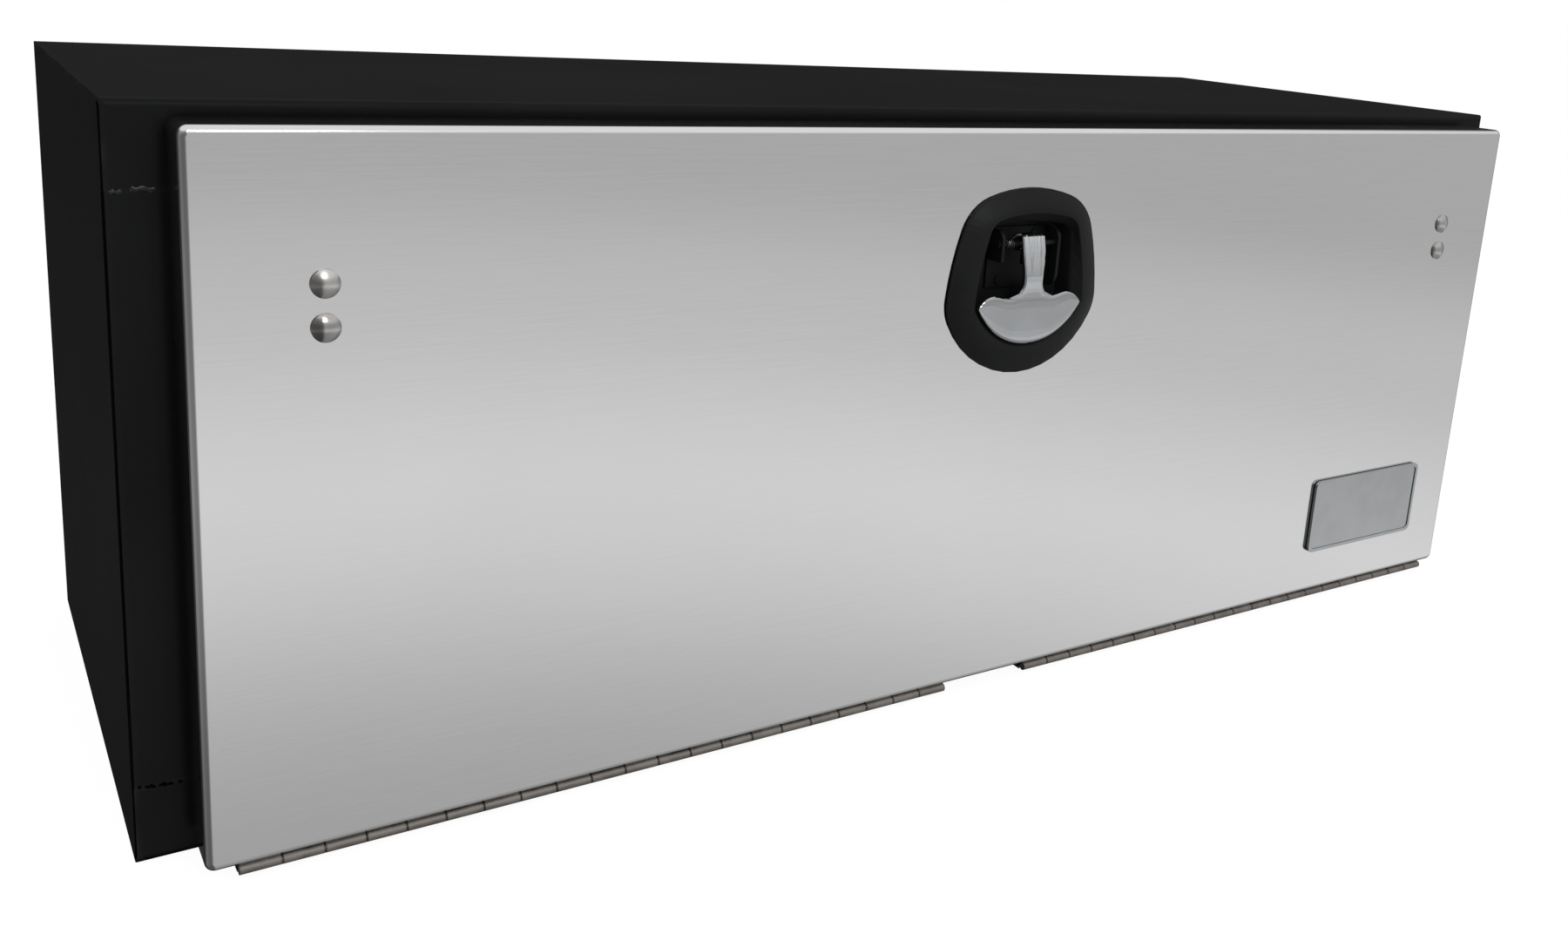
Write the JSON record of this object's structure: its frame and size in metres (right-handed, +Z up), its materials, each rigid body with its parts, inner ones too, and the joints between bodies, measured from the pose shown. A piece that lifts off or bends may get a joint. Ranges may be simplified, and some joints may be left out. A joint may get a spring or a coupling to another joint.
{
  "type": "truck tool box",
  "caption": "Underbody truck tool box with a black steel body, a drop-down stainless door on a knuckle hinge and a recessed whale-tail pull handle that draws two latch rods.",
  "frame": {"origin": "centre of the underside of the body, without the door", "axes": "+X to the right seen from the front, -Y out through the door, +Z up"},
  "size_m": [1.2192, 0.4707, 0.4572],
  "materials": {
    "black_coat": "textured black powder coat",
    "stainless": "satin rolled stainless sheet",
    "hinge_steel": "dull mill finish",
    "satin_black": "satin moulded black",
    "black_steel": "satin black",
    "chrome": "polished chrome",
    "rubber": "matt black",
    "zinc_steel": "zinc plated"
  },
  "bodies": {
    "box": {"top_panel": "black_coat", "bottom_panel": "black_coat", "back_panel": "black_coat", "left_end": "black_coat", "right_end": "black_coat", "opening_seal": "rubber", "hinge_frame_leaf_left": "hinge_steel", "hinge_frame_leaf_right": "hinge_steel", "hinge_pin_left": "hinge_steel", "hinge_pin_right": "hinge_steel"},
    "door": {"door_pan": "stainless", "hinge_door_leaf_left": "hinge_steel", "hinge_door_leaf_right": "hinge_steel", "handle_dish": "satin_black", "dish_gasket": "rubber", "dish_nuts": "zinc_steel", "handle_clevis": "black_steel", "clevis_rivets": "black_steel", "fold_pin": "black_steel", "fold_spring": "zinc_steel", "latch_bracket": "zinc_steel", "cam_pivot": "zinc_steel", "rod_guide_left": "zinc_steel", "rod_guide_right": "zinc_steel", "guide_bolts": "zinc_steel", "guide_nuts": "zinc_steel", "badge_plate": "chrome", "badge_pad": "rubber"},
    "handle": {"whale_tail_handle": "chrome", "lever_pin": "zinc_steel"},
    "cam": {"latch_cam": "zinc_steel", "push_pin": "zinc_steel", "cam_pins": "zinc_steel", "rod_clips": "zinc_steel"},
    "rod_left": {"rod_left": "zinc_steel"},
    "rod_right": {"rod_right": "zinc_steel"}
  },
  "joints": [
    {"name": "door_swing", "type": "hinge", "parent": "box", "child": "door", "pos_m": [0, -0.2472, 0.00605], "axis": [1, 0, 0], "range_deg": [0, 90]},
    {"name": "handle_fold", "type": "hinge", "parent": "door", "child": "handle", "pos_m": [0, -0.25135, 0.362], "axis": [-1, 0, 0], "range_deg": [0, 35], "stiffness_Nm_per_rad": 0.25, "springref_deg": -17.19, "deforming": ["fold_spring"]},
    {"name": "cam_turn", "type": "hinge", "parent": "door", "child": "cam", "pos_m": [0, -0.21385, 0.3536], "axis": [0, 1, 0], "range_deg": [0, 35]},
    {"name": "rod_left_pivot", "type": "hinge", "parent": "cam", "child": "rod_left", "pos_m": [-0.00662, -0.21015, 0.37458], "axis": [0, 1, 0], "range_deg": [-35, 0]},
    {"name": "rod_right_pivot", "type": "hinge", "parent": "cam", "child": "rod_right", "pos_m": [0.00662, -0.21015, 0.33262], "axis": [0, 1, 0], "range_deg": [-35, 0]}
  ],
  "couplings": [
    {"joint": "cam_turn", "follows": "handle_fold", "ratio": 1},
    {"joint": "rod_left_pivot", "follows": "handle_fold", "ratio": -1},
    {"joint": "rod_right_pivot", "follows": "handle_fold", "ratio": -1}
  ]
}
